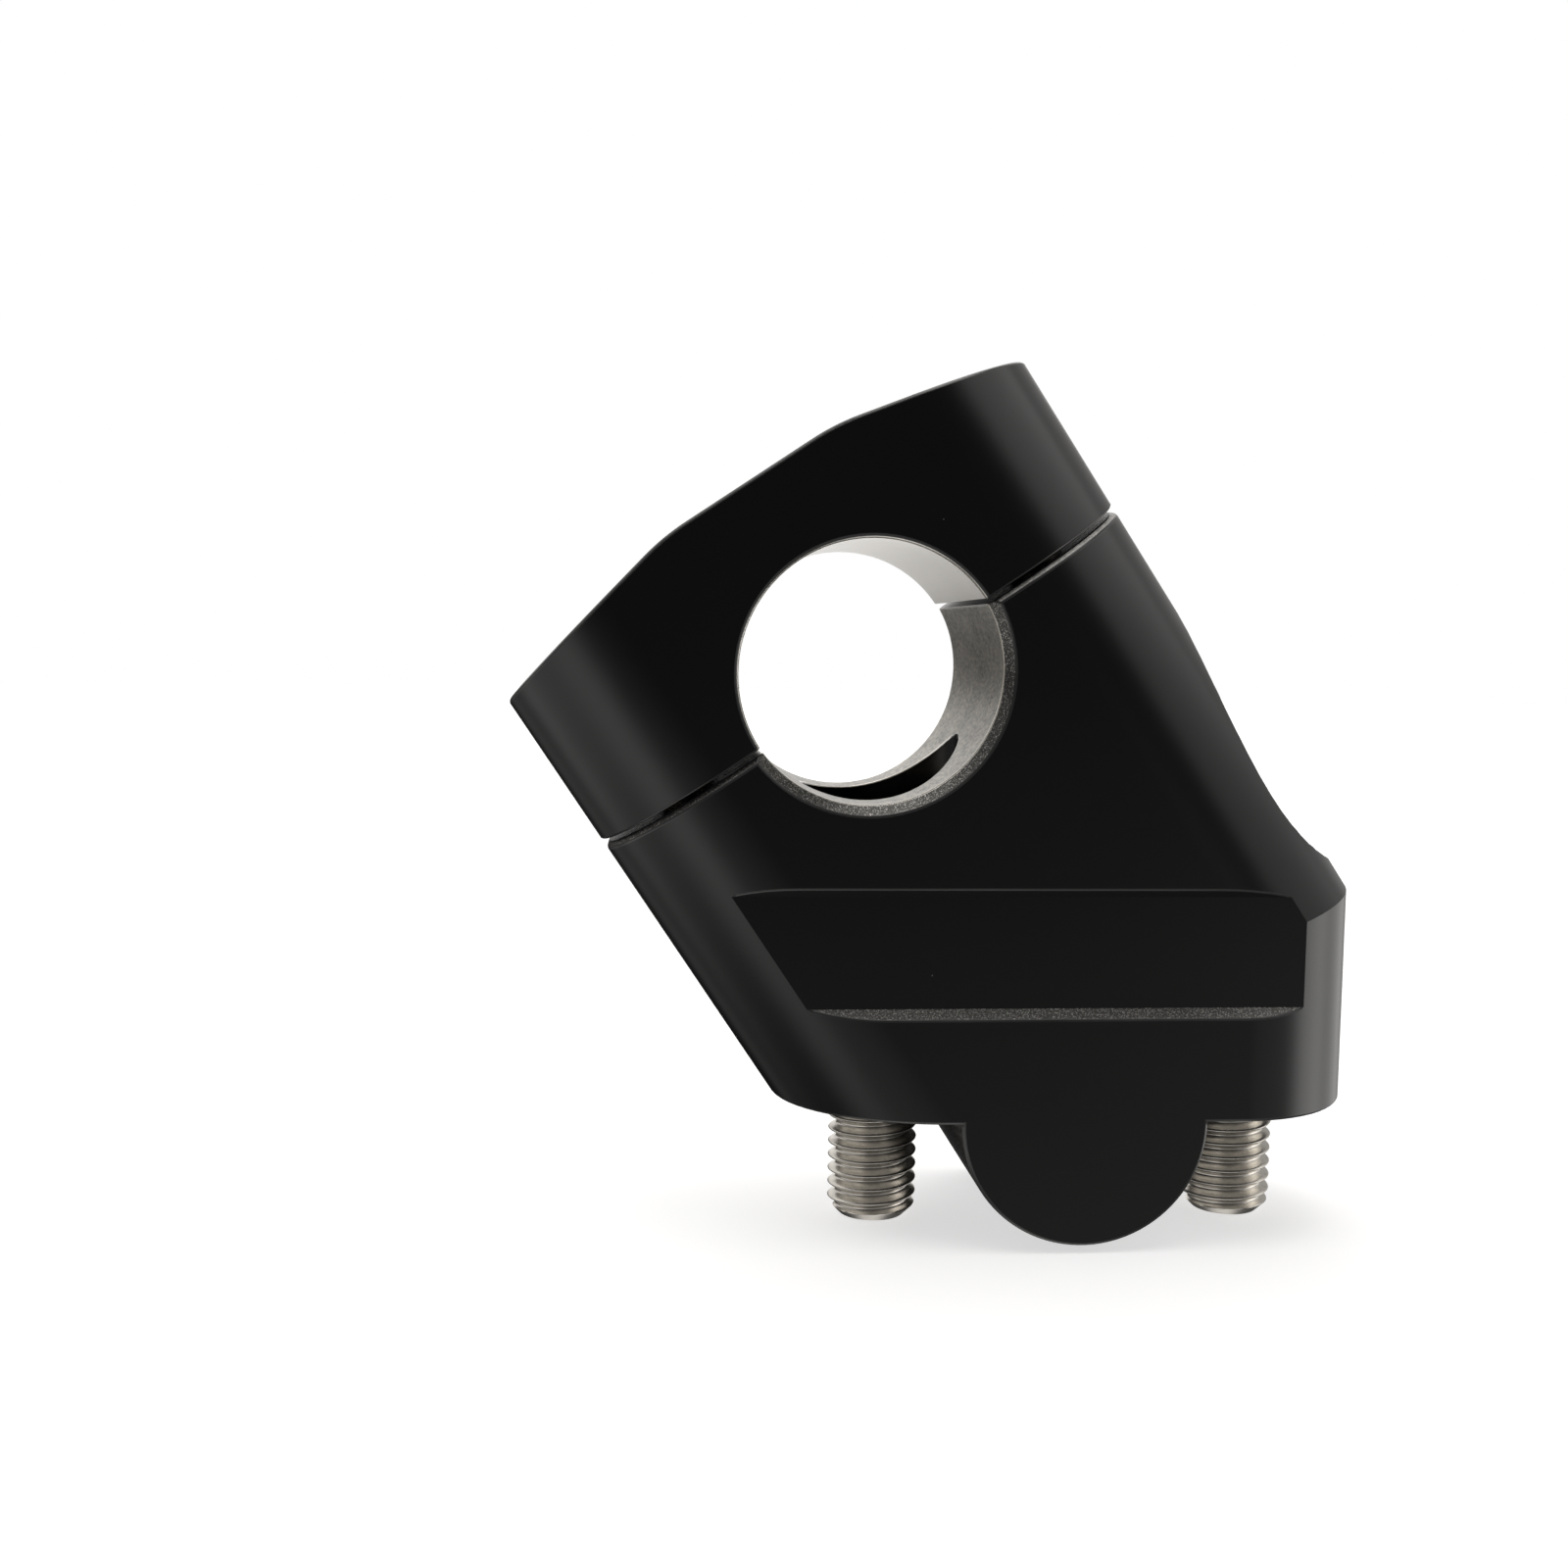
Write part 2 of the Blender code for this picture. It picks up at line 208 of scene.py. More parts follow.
def mesh_from_grid(name: str, points: Array) -> bpy.types.Mesh:
    """Puts a grid of points into a mesh and closes its seams and poles.

    Point (i, j) has the number i * columns + j, and each quad joins it with its neighbours at
    i + 1 and j + 1.

    Args:
        name: the mesh's name.
        points: rows by columns by 3 places.

    Returns:
        The mesh, with its faces turned outwards.
    """
    weld = 1e-7
    rows, columns, _ = points.shape
    i, j = np.meshgrid(np.arange(rows - 1), np.arange(columns - 1), indexing="ij")
    corner = (i * columns + j).ravel()
    quads = np.stack([corner, corner + 1, corner + columns + 1, corner + columns], axis=1)
    mesh = bpy.data.meshes.new(name)
    mesh.vertices.add(rows * columns)
    mesh.vertices.foreach_set("co", points.astype(np.float32).ravel())
    mesh.loops.add(quads.size)
    mesh.loops.foreach_set("vertex_index", quads.astype(np.int32).ravel())
    mesh.polygons.add(len(quads))
    mesh.polygons.foreach_set("loop_start", np.arange(0, quads.size, 4, dtype=np.int32))
    mesh.update(calc_edges=True)
    mesh.validate()
    shape = bmesh.new()
    shape.from_mesh(mesh)
    bmesh.ops.remove_doubles(shape, verts=shape.verts, dist=weld)
    bmesh.ops.dissolve_degenerate(shape, edges=shape.edges, dist=weld)
    bmesh.ops.recalc_face_normals(shape, faces=shape.faces)
    shape.to_mesh(mesh)
    shape.free()
    return mesh


@dataclass(frozen=True)
class MeshArrays:
    """A mesh's own data as whole arrays, with a row for each point, face or corner."""

    points: Array
    facing: Array
    area: Array
    first_corner: Array
    corner_point: Array
    corner_face: Array

    @classmethod
    def of(cls, mesh: bpy.types.Mesh) -> "MeshArrays":
        """Reads the arrays of a mesh.

        Args:
            mesh: the mesh to read.

        Returns:
            Its arrays.
        """

        def read(rows: bpy.types.bpy_prop_collection, name: str, kind: type, width: int = 1) -> Array:
            """Reads one value, or one vector, of every row.

            Args:
                rows: the mesh's points, faces or corners.
                name: the value's name.
                kind: the type of its numbers.
                width: how many numbers a row has.

            Returns:
                The values, vectors as floats.
            """
            values = np.empty(len(rows) * width, kind)
            rows.foreach_get(name, values)
            return values if width == 1 else values.reshape(-1, width).astype(float)

        first_corner = read(mesh.polygons, "loop_start", np.int32)
        corner_point = read(mesh.loops, "vertex_index", np.int32)
        return cls(
            points=read(mesh.vertices, "co", np.float32, 3),
            facing=read(mesh.polygons, "normal", np.float32, 3),
            area=read(mesh.polygons, "area", np.float32),
            first_corner=first_corner,
            corner_point=corner_point,
            corner_face=np.repeat(
                np.arange(len(first_corner)), np.diff(np.append(first_corner, len(corner_point))),
            ),
        )

    def face_sums(self, values: Array) -> Array:
        """Adds the values of the points round each face."""
        return np.add.reduceat(values[self.corner_point], self.first_corner)


@dataclass
class MachinedBlock:
    """A machined piece of the riser, made from its solid with the cut edges broken.

    The faces of the solid are facets of the walls in the list. Each corner takes the true
    normal of the wall that its face belongs to, so round walls shade without facets.

    weld, flat and sliver clean the solid's mesh, and an edge sharper than least_edge is
    rounded over edge_break. on_wall is how far a corner may lie from its wall, a little more
    than a facet's own bulge, and alike is the least cosine between a face's normal and its
    wall's. A corner of a rounded edge takes the normal of a wall that it touches where the
    cosine with its face's normal is above touching. rim is how far the bright line round the
    bar's bore reaches from the bore's wall.
    """

    node: str = ""
    walls: Sequence[Wall] = ()
    clamp: ClampAxes = ClampAxes()
    half_depth: float = 12.0 * MM
    end_across: float = 14.8 * MM
    bar_radius: float = 11.1 * MM
    clamp_screw_across: float = 18.5 * MM
    weld: float = 0.002 * MM
    flat: float = radians(0.4)
    sliver: float = 0.0001 * MM
    least_edge: float = radians(33.0)
    edge_break: float = 0.14 * MM
    edge_steps: int = 3
    on_wall: float = 0.020 * MM
    alike: float = 0.9975
    touching: float = 0.5
    rim: float = 0.16 * MM

    def broken_mesh(self) -> bpy.types.Mesh:
        """Copies the solid's mesh, joins its loose triangles and rounds its sharp outer edges.

        Returns:
            The new mesh, in the riser's frame.
        """
        shape = bmesh.new()
        shape.from_mesh(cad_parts[self.node].data)
        # The rounding works in millimetres, because its own tolerances suit larger numbers.
        shape.transform(Matrix.Scale(1.0 / MM, 4))
        bmesh.ops.remove_doubles(shape, verts=shape.verts, dist=self.weld / MM)
        bmesh.ops.dissolve_limit(
            shape, angle_limit=self.flat, use_dissolve_boundaries=False,
            verts=shape.verts, edges=shape.edges,
        )
        sharp = [
            edge for edge in shape.edges
            if edge.is_manifold and edge.is_convex and edge.calc_face_angle(0.0) > self.least_edge
        ]
        bmesh.ops.bevel(
            shape, geom=sharp, offset=self.edge_break / MM, offset_type="OFFSET",
            segments=self.edge_steps, profile=0.5, affect="EDGES", clamp_overlap=False,
            loop_slide=True, miter_outer="SHARP",
        )
        bmesh.ops.dissolve_degenerate(shape, edges=shape.edges, dist=self.sliver / MM)
        shape.transform(Matrix.Scale(MM, 4))
        mesh = bpy.data.meshes.new(self.node + "_finished")
        shape.to_mesh(mesh)
        shape.free()
        return mesh

    def wall_owners(self, arrays: MeshArrays, wall_normals: Array) -> Array:
        """Finds the wall that each face belongs to.

        A face belongs to the first wall that all its corners lie on and that faces the same
        way as it does.

        Args:
            arrays: the mesh's arrays.
            wall_normals: walls by points by 3, filled here with each wall's normals.

        Returns:
            A wall's number for each face, or -1 for none.
        """
        owner = np.full(len(arrays.facing), -1)
        for number, wall in enumerate(self.walls):
            gap, wall_normals[number] = wall.measure(arrays.points)
            near = (np.abs(gap) < self.on_wall)[arrays.corner_point]
            corners_fit = np.logical_and.reduceat(near, arrays.first_corner)
            mean = unit(arrays.face_sums(wall_normals[number]))
            fits = corners_fit & ((mean * arrays.facing).sum(1) > self.alike) & (owner < 0)
            owner[fits] = number
        return owner

    def corner_normals(self, arrays: MeshArrays, wall_normals: Array, owner: Array) -> Array:
        """Finds the normal of each corner.

        A face on a wall takes the wall's normals. The corners of a rounded edge take the
        normal of the wall they touch, or else the mean of the faces round them weighted by
        area, so that the rounding runs smoothly from wall to wall.

        Args:
            arrays: the mesh's arrays.
            wall_normals: walls by points by 3, each wall's normals.
            owner: a wall's number for each face, or -1 for none.

        Returns:
            One normal for each corner.
        """
        point, face = arrays.corner_point, arrays.corner_face
        owned = owner[face] >= 0
        touched = np.zeros(wall_normals.shape[:2], bool)
        touched[owner[face][owned], point[owned]] = True
        mixed = np.zeros_like(arrays.points)
        np.add.at(mixed, point, arrays.facing[face] * arrays.area[face][:, None])
        towards = np.einsum("wlk,lk->wl", wall_normals[:, point], arrays.facing[face])
        # A wall that the corner doesn't touch comes after any that it does.
        towards[~touched[:, point]] = -2.0
        nearest = towards.argmax(0)
        use_wall = towards[nearest, np.arange(len(point))] > self.touching
        normals = np.where(use_wall[:, None], wall_normals[nearest, point], unit(mixed)[point])
        normals[owned] = wall_normals[owner[face][owned], point[owned]]
        return normals

    def mark_cuts(self, mesh: bpy.types.Mesh, arrays: MeshArrays, owner: Array) -> None:
        """Writes the face masks that the finish reads.

        Args:
            mesh: the mesh to mark.
            arrays: its arrays.
            owner: a wall's number for each face, or -1 for a broken edge.
        """
        cuts = np.array([wall.cut.value for wall in self.walls] + ["edge"])[owner]
        masks = {name: cuts == name for name in ("edge", "chamfer", "split", "bar_bore")}
        masks["chamfer"] |= masks["split"]
        bore = next(wall for wall in self.walls if wall.cut is Cut.BAR_BORE)
        centre = arrays.face_sums(arrays.points) / np.bincount(arrays.corner_face)[:, None]
        at_bore = np.abs(bore.measure(centre)[0]) < self.rim
        masks["rim"] = (masks["edge"] | masks["chamfer"]) & at_bore
        for name, chosen in masks.items():
            mask = mesh.attributes.new(name, "FLOAT", "FACE")
            mask.data.foreach_set("value", chosen.astype(np.float32))

    def shade(self, mesh: bpy.types.Mesh) -> None:
        """Gives each corner its normal, and marks the broken edges and the cuts.

        Args:
            mesh: the mesh to shade.
        """
        arrays = MeshArrays.of(mesh)
        wall_normals = np.empty((len(self.walls), len(arrays.points), 3))
        owner = self.wall_owners(arrays, wall_normals)
        mesh.shade_smooth()
        mesh.normals_split_custom_set(self.corner_normals(arrays, wall_normals, owner))
        self.mark_cuts(mesh, arrays, owner)
        log.info("%s: %d of %d faces on no wall", self.node, int((owner < 0).sum()), len(owner))

    def build(self) -> bpy.types.Object:
        """Builds the finished piece, which stands for its node.

        Returns:
            The piece, riding on the root body.
        """
        mesh = self.broken_mesh()
        self.shade(mesh)
        return dressed_piece(self.node, mesh)


@dataclass
class RiserBody(MachinedBlock):
    """The leaning block with the saddle, the pockets, the channel and the boss."""

    node: str = "riser_body"
    split: float = -0.75 * MM
    split_chamfer: float = 0.45 * MM
    base_end_x: float = 14.0 * MM
    boss_radius: float = 10.6 * MM
    bar_chamfer: float = 0.9 * MM
    pocket_depth: float = 1.1 * MM
    pocket_bottom: float = 9.7 * MM
    pocket_top: float = 19.2 * MM
    pocket_spread: float = 0.75 * MM
    screw_x: float = 16.5 * MM
    screw_seat: float = 13.5 * MM
    screw_hole: float = 4.5 * MM
    saddle_hole: float = 7.0 * MM
    channel: float = 8.0 * MM
    tapped_hole: float = 3.3 * MM
    mouth: float = 0.5 * MM

    def __post_init__(self) -> None:
        """Lists the walls that the block was cut to."""
        axes, deep = self.clamp, self.half_depth
        up, bar = axes.up(), axes.point(0.0, 0.0)
        below_split = axes.point(0.0, self.split - self.split_chamfer)
        self.walls = [
            FlatWall(axes.point(0.0, self.split), up),
            FlatWall(np.zeros(3), -Z_AXIS),
            FlatWall(self.screw_seat * Z_AXIS, Z_AXIS),
            RoundWall(self.base_end_x * X_AXIS, Z_AXIS, deep),
            RoundWall(np.zeros(3), Y_AXIS, self.boss_radius),
            bored(bar, Y_AXIS, self.bar_radius, Cut.BAR_BORE),
            bored(-self.screw_x * X_AXIS, Z_AXIS, self.saddle_hole),
            bored(self.screw_x * X_AXIS, Z_AXIS, self.channel),
        ]
        for way in (-1.0, 1.0):
            out = way * Y_AXIS
            floor = out * (deep - self.pocket_depth)
            slope, rise = out * self.pocket_spread, Z_AXIS * self.pocket_depth
            end = axes.point(way * self.end_across, self.split)
            screw = way * self.screw_x * X_AXIS
            tapped = axes.point(way * self.clamp_screw_across, self.split)
            self.walls += [
                FlatWall(out * deep, out),
                FlatWall(floor, out),
                FlatWall(floor + Z_AXIS * self.pocket_bottom, slope + rise, Cut.CHAMFER),
                FlatWall(floor + Z_AXIS * self.pocket_top, slope - rise),
                RoundWall(end, up, deep),
                FlatWall(below_split + out * deep, out + up, Cut.SPLIT),
                RoundWall(end, up, deep - self.split_chamfer, growth=-1.0, cut=Cut.SPLIT),
                bored(bar + out * deep, out, self.bar_radius + self.bar_chamfer, Cut.CHAMFER, 1.0),
                bored(screw, Z_AXIS, self.screw_hole),
                bored(screw, -Z_AXIS, self.screw_hole + self.mouth, Cut.CHAMFER, 1.0),
                bored(tapped, up, self.tapped_hole),
                bored(tapped, up, self.tapped_hole + self.mouth, Cut.CHAMFER, 1.0),
            ]


@dataclass
class ClampCap(MachinedBlock):
    """The upper half of the bar clamp, with its flat crown and falling shoulders."""

    node: str = "clamp_cap"
    split: float = -0.3 * MM
    crown: float = 18.3 * MM
    crown_half: float = 8.3 * MM
    shoulder_fall: float = radians(12.5)
    bend: float = 20.0 * MM
    bar_chamfer: float = 0.25 * MM
    closed_by: float = 0.4 * MM
    screw_hole: float = 3.5 * MM
    head_hole: float = 5.5 * MM
    head_height: float = 6.0 * MM
    head_sink: float = 0.5 * MM

    def seat(self) -> float:
        """Height of the screws' seats, so that the heads are sunk in the falling shoulders."""
        edge = self.clamp_screw_across + self.head_hole - self.crown_half
        return self.crown - edge * tan(self.shoulder_fall) - self.head_sink - self.head_height

    def __post_init__(self) -> None:
        """Lists the walls that the cap was cut to."""
        axes, deep = self.clamp, self.half_depth
        across, up = axes.across(), axes.up()
        bar = axes.point(0.0, -self.closed_by)
        bend_across = self.crown_half - self.bend * tan(self.shoulder_fall / 2)
        self.walls = [
            FlatWall(axes.point(0.0, self.split), -up),
            FlatWall(axes.point(0.0, self.crown), up),
            FlatWall(axes.point(0.0, self.seat()), up),
            bored(bar, Y_AXIS, self.bar_radius, Cut.BAR_BORE),
        ]
        for way in (-1.0, 1.0):
            out = way * Y_AXIS
            shoulder = way * across * sin(self.shoulder_fall) + up * cos(self.shoulder_fall)
            screw = axes.point(way * self.clamp_screw_across, 0.0)
            self.walls += [
                FlatWall(out * deep, out),
                FlatWall(axes.point(way * self.crown_half, self.crown), shoulder),
                RoundWall(axes.point(way * bend_across, self.crown - self.bend), Y_AXIS, self.bend),
                RoundWall(axes.point(way * self.end_across, 0.0), up, deep),
                bored(bar + out * deep, out, self.bar_radius + self.bar_chamfer, Cut.CHAMFER, 1.0),
                bored(screw, up, self.screw_hole),
                bored(screw, up, self.head_hole),
            ]


@dataclass
class SocketScrew:
    """A socket screw with a knurled head and a rolled thread, on its own Z axis.

    The underside of the head is at Z = 0 and the shank runs down to Z = -length. The thread
    starts at the neck, comes up to its full depth over run_out pitches and is thread_share
    of a pitch deep. Edges sharper than crease stay sharp.
    """

    node: str
    place: Matrix
    thread: float = 8.0 * MM
    pitch: float = 1.25 * MM
    length: float = 25.0 * MM
    head: float = 13.0 * MM
    head_height: float = 8.0 * MM
    key: float = 6.0 * MM
    key_depth: float = 4.0 * MM
    tip_chamfer: float = 1.04 * MM
    knurl_depth: float = 0.14 * MM
    neck: float = 0.40 * MM
    run_out: float = 0.8
    thread_share: float = 0.6134
    columns: int = 96
    crease: float = radians(34.0)

    def ridge(self) -> tuple[Array, Array]:
        """Section of the thread over one pitch.

        The depth is 0 on a crest an eighth of a pitch wide and grows along straight flanks,
        each five sixteenths of a pitch wide, to 1 in the root. Averaging it over a fifth of a
        pitch rounds the corners.

        Returns:
            Phases from 0 to 1 and the share of the thread's depth at each.
        """
        steps = 2000
        fine = np.linspace(-0.5, 1.5, 2 * steps + 1)
        from_crest = np.abs((fine + 0.5) % 1.0 - 0.5)
        sharp = np.clip((from_crest - 1 / 16) / (5 / 16), 0.0, 1.0)
        width = steps // 5
        rounded = np.convolve(sharp, np.full(width + 1, 1.0 / (width + 1)), mode="same")
        half = np.array((0.0, 0.03, 0.06, 0.09, 0.12, 0.18, 0.25, 0.32, 0.36, 0.40, 0.45))
        phases = np.concatenate([half, [0.5], 1.0 - half[:0:-1]])
        return phases, np.interp(phases, fine, rounded)

    def socket_wall(self, angle: Array) -> Array:
        """Distance to the hexagon's wall: half the key over the cosine of the angle from a flat."""
        from_flat = (angle + pi / 6) % (pi / 3) - pi / 6
        return self.key / 2 / np.cos(from_flat)

    def head_rows(self, angle: Array) -> tuple[Array, Array]:
        """Rows of the head, from the middle of the socket's floor out and down to the shank.

        Each row is a radius and a height for every angle. The socket's rows follow the hexagon,
        and the rows of the side are pulled in at every second column to form the knurl.

        Args:
            angle: angles about the screw's axis.

        Returns:
            Radii and heights, rows by angles.
        """
        wall = self.socket_wall(angle)
        corner, lip, foot, fillet = 0.05 * MM, 0.30 * MM, 0.25 * MM, 0.35 * MM
        top, rim, shank = self.head_height, self.head / 2, self.thread / 2
        floor = top - self.key_depth
        drill = 0.42 * self.key
        drill_depth = 0.45 * drill
        mouth = self.key / sqrt(3.0) + 2 * corner
        side = rim - self.knurl_depth * (np.arange(len(angle)) % 2)
        knurl_low, knurl_in = 0.38 * MM, 0.55 * MM
        bulge = 0.09 * top
        knurl_top = top - bulge - 0.10 * MM
        rows = [
            (0.0, floor - drill_depth),
            (0.97 * drill, floor - 0.03 * MM),
            (drill, floor),
            (wall - corner, floor),
            (wall, floor + corner),
            (wall, top - lip - corner),
            (np.maximum(wall, mouth - lip), top - lip),
            (mouth, top - 0.04 * MM),
            (mouth + corner, top),
        ]
        rows += [
            (rim - bulge + bulge * sin(a), top - bulge + bulge * cos(a))
            for a in np.linspace(0.0, pi / 2, 6)
        ]
        rows += [
            (rim, knurl_top),
            (side, knurl_top - 0.18 * MM),
            (side, knurl_in),
            (rim, knurl_low),
            (rim, foot),
            (rim - foot, 0.0),
            (shank + fillet, 0.0),
            (shank + 0.10 * MM, -0.08 * MM),
            (shank, -fillet),
        ]
        radii, heights = (np.stack([part + np.zeros_like(angle) for part in way]) for way in zip(*rows))
        return radii, heights

    def thread_rows(self, angle: Array) -> tuple[Array, Array]:
        """Rows of the thread, which follow the helix down to the chamfered tip.

        A row at phase p starts 1 - p pitches above the neck and rises by one pitch per turn,
        so the last column of a row meets the first column of the row one pitch higher. Heights
        are held between the neck and the tip. The radius is the thread's, faded to the neck at
        the top and cut by the chamfer's cone at the tip.

        Args:
            angle: angles about the screw's axis, the last one a full turn.

        Returns:
            Radii and heights, rows by angles.
        """
        phases, depth = self.ridge()
        neck, tip = -self.neck, -self.length
        turns = int(round(self.length / self.pitch)) + 2
        phase = (np.arange(turns)[:, None] + phases[None, :]).ravel()
        share = np.tile(depth, turns)
        height = neck + self.pitch - phase[:, None] * self.pitch + self.pitch * angle[None, :] / (2 * pi)
        height = np.clip(height, tip, neck)
        shank, deep = self.thread / 2, self.thread_share * self.pitch
        fade = np.clip((neck - height) / (self.run_out * self.pitch), 0.0, 1.0)
        fade = fade * fade * (3.0 - 2.0 * fade)
        ridge = shank - deep * share[:, None]
        neck_radius = shank - 0.03 * MM
        radius = neck_radius + (ridge - neck_radius) * fade
        cone = shank - self.tip_chamfer + (height - tip)
        radius = np.minimum(radius, np.maximum(cone, 0.0))
        # At the tip's face the rows stay inside the root, which would stand proud of the cone.
        inside_root = np.minimum(radius, shank - deep - 0.1 * MM)
        return np.where(height <= tip + 1e-9, inside_root, radius), height

    def surface(self) -> Array:
        """The whole screw as one grid, from the socket's floor over the head to the tip.

        Returns:
            Rows by columns by 3 places on the screw's own axes.
        """
        angle = np.linspace(0.0, 2 * pi, self.columns + 1)
        head_radii, head_heights = self.head_rows(angle)
        thread_radii, thread_heights = self.thread_rows(angle)
        end_radius = thread_radii[-1].min()
        tail_radii = np.stack([np.full_like(angle, end_radius * 0.6), np.zeros_like(angle)])
        tail_heights = np.full((2, len(angle)), -self.length)
        radii = np.concatenate([head_radii, thread_radii, tail_radii])
        heights = np.concatenate([head_heights, thread_heights, tail_heights])
        turn = angle[None, :]
        return np.stack([radii * np.cos(turn), radii * np.sin(turn), heights], axis=2)

    def build(self) -> bpy.types.Object:
        """Builds the screw, which stands for its node.

        Returns:
            The piece, riding on the root body.
        """
        mesh = mesh_from_grid(self.node + "_threaded", self.surface())
        mesh.transform(self.place)
        mesh.shade_smooth()
        mesh.set_sharp_from_angle(angle=self.crease)
        return dressed_piece(self.node, mesh)


def shader_material(name: str) -> tuple[bpy.types.Material, bpy.types.Node]:
    """Makes a node material with only a Principled shader and its output.

    Args:
        name: the material's name.

    Returns:
        The material and its shader node.
    """
    material = bpy.data.materials.new(name)
    material.use_nodes = True
    return material, material.node_tree.nodes["Principled BSDF"]


@dataclass(frozen=True)
class NodeSheet:
    """A node tree with short calls for adding the nodes that the finishes share."""

    tree: bpy.types.NodeTree

    def node(self, kind: str, inputs: dict[str, Value] | None = None, **options: object) -> bpy.types.Node:
        """Adds a node, sets its options and feeds its inputs.

        Args:
            kind: the node's type name without the word ShaderNode.
            inputs: what goes into its inputs, by their names.
            options: properties of the node.

        Returns:
            The node.
        """
        made = self.tree.nodes.new("ShaderNode" + kind)
        for name, value in options.items():
            setattr(made, name, value)
        self.wire(made, inputs or {})
        return made

    def wire(self, node: bpy.types.Node, inputs: dict[str, Value]) -> None:
        """Feeds inputs of a node by their names."""
        for name, source in inputs.items():
            self.feed(node.inputs[name], source)

    def feed(self, target: Socket, source: Value) -> None:
        """Sets an input to a constant or links another node's output to it.

        Args:
            target: the input.
            source: the constant or the output.
        """
        if isinstance(source, Socket):
            self.tree.links.new(source, target)
        else:
            target.default_value = source

    def math(self, operation: str, *sources: Value) -> Socket:
        """Adds a Math node.

        Args:
            operation: Blender's word for the operation.
            sources: what goes into its inputs, in order.

        Returns:
            Its output.
        """
        made = self.node("Math", operation=operation)
        for target, source in zip(made.inputs, sources):
            self.feed(target, source)
        return made.outputs[0]

    def noise(self, where: Value, scale: Value, detail: float = 2.0, roughness: float = 0.5) -> Socket:
        """Adds a noise texture with this many grains per metre and returns its value."""
        inputs = {"Vector": where, "Scale": scale, "Detail": detail, "Roughness": roughness}
        return self.node("TexNoise", inputs).outputs["Fac"]

    def range(
        self, value: Value, low: Value, high: Value, to_low: Value = 0.0, to_high: Value = 1.0,
        ramp: Ramp = Ramp.STRAIGHT,
    ) -> Socket:
        """Adds a Map Range node, which keeps within its two ends, and returns its result."""
        ends = {"Value": value, "From Min": low, "From Max": high, "To Min": to_low, "To Max": to_high}
        return self.node("MapRange", ends, interpolation_type=ramp.value).outputs["Result"]

    def blend(self, factor: Value, first: Value, second: Value) -> Socket:
        """Adds a colour Mix node.

        Args:
            factor: the share of the second colour.
            first: the colour at 0.
            second: the colour at 1.

        Returns:
            The mixed colour.
        """
        made = self.node("Mix", {"Factor": factor}, data_type="RGBA")
        colours = [socket for socket in made.inputs if socket.type == "RGBA"]
        for target, source in zip(colours, (first, second)):
            self.feed(target, source)
        return next(socket for socket in made.outputs if socket.type == "RGBA")

    def bump(self, height: Value, distance: float, strength: float = 1.0) -> Socket:
        """Adds a Bump node whose height 1 stands this far out, and returns its normal."""
        inputs = {"Strength": strength, "Distance": distance, "Height": height}
        return self.node("Bump", inputs).outputs["Normal"]

    def group(self, shared: bpy.types.NodeTree, inputs: dict[str, Value] | None = None) -> bpy.types.Node:
        """Adds a shared node group and feeds its inputs."""
        return self.node("Group", inputs, node_tree=shared)

    def mask(self, name: str) -> Socket:
        """Adds an Attribute node for a face mask of the piece and returns its value."""
        return self.node("Attribute", attribute_name=name).outputs["Fac"]


def new_group(
    name: str, inputs: dict[str, Value], outputs: Sequence[str],
) -> tuple[NodeSheet, dict[str, Socket], bpy.types.Node]:
    """Starts a shared node group with named inputs and outputs.

    Args:
        name: the group's name.
        inputs: each input's name and its value, a number, or three numbers for a vector.
        outputs: the names of the outputs, all single values.

    Returns:
        The sheet to build on, the sockets that bring the inputs, and the node that takes the results.
    """
    tree = bpy.data.node_groups.new(name, "ShaderNodeTree")
    for label, value in inputs.items():
        kind = "NodeSocketVector" if isinstance(value, tuple) else "NodeSocketFloat"
        tree.interface.new_socket(label, in_out="INPUT", socket_type=kind).default_value = value
    for label in outputs:
        tree.interface.new_socket(label, in_out="OUTPUT", socket_type="NodeSocketFloat")
    given = tree.nodes.new("NodeGroupInput")
    return NodeSheet(tree), dict(given.outputs.items()), tree.nodes.new("NodeGroupOutput")


def grain_group() -> bpy.types.NodeTree:
    """Builds the shared fine grain of a blasted or turned metal surface.

    Two noises are read on Object coordinates, one at the grain's size and one five times
    coarser, and their mean, weighted 7 to 3, is the grain's height. The sparkle is the bright
    peaks of the fine noise, and the cloud is a slow variation over the piece.

    Returns:
        The node group.
    """
    sheet, given, result = new_group(
        "metal_grain", {"Grains per metre": 6000.0, "Stretch": (1.0, 1.0, 1.0)},
        ("Height", "Sparkle", "Cloud"),
    )
    where = sheet.node("TexCoord").outputs["Object"]
    placed = sheet.node("Mapping", {"Vector": where, "Scale": given["Stretch"]}).outputs["Vector"]
    fine = sheet.noise(placed, given["Grains per metre"], detail=3.0, roughness=0.65)
    coarse = sheet.noise(placed, sheet.math("MULTIPLY", given["Grains per metre"], 1 / 5))
    sheet.wire(result, {
        "Height": sheet.math("MULTIPLY_ADD", fine, 0.7, sheet.math("MULTIPLY", coarse, 0.3)),
        "Sparkle": sheet.range(fine, 0.52, 0.68),
        "Cloud": sheet.noise(where, 70.0, detail=3.0),
    })
    return sheet.tree


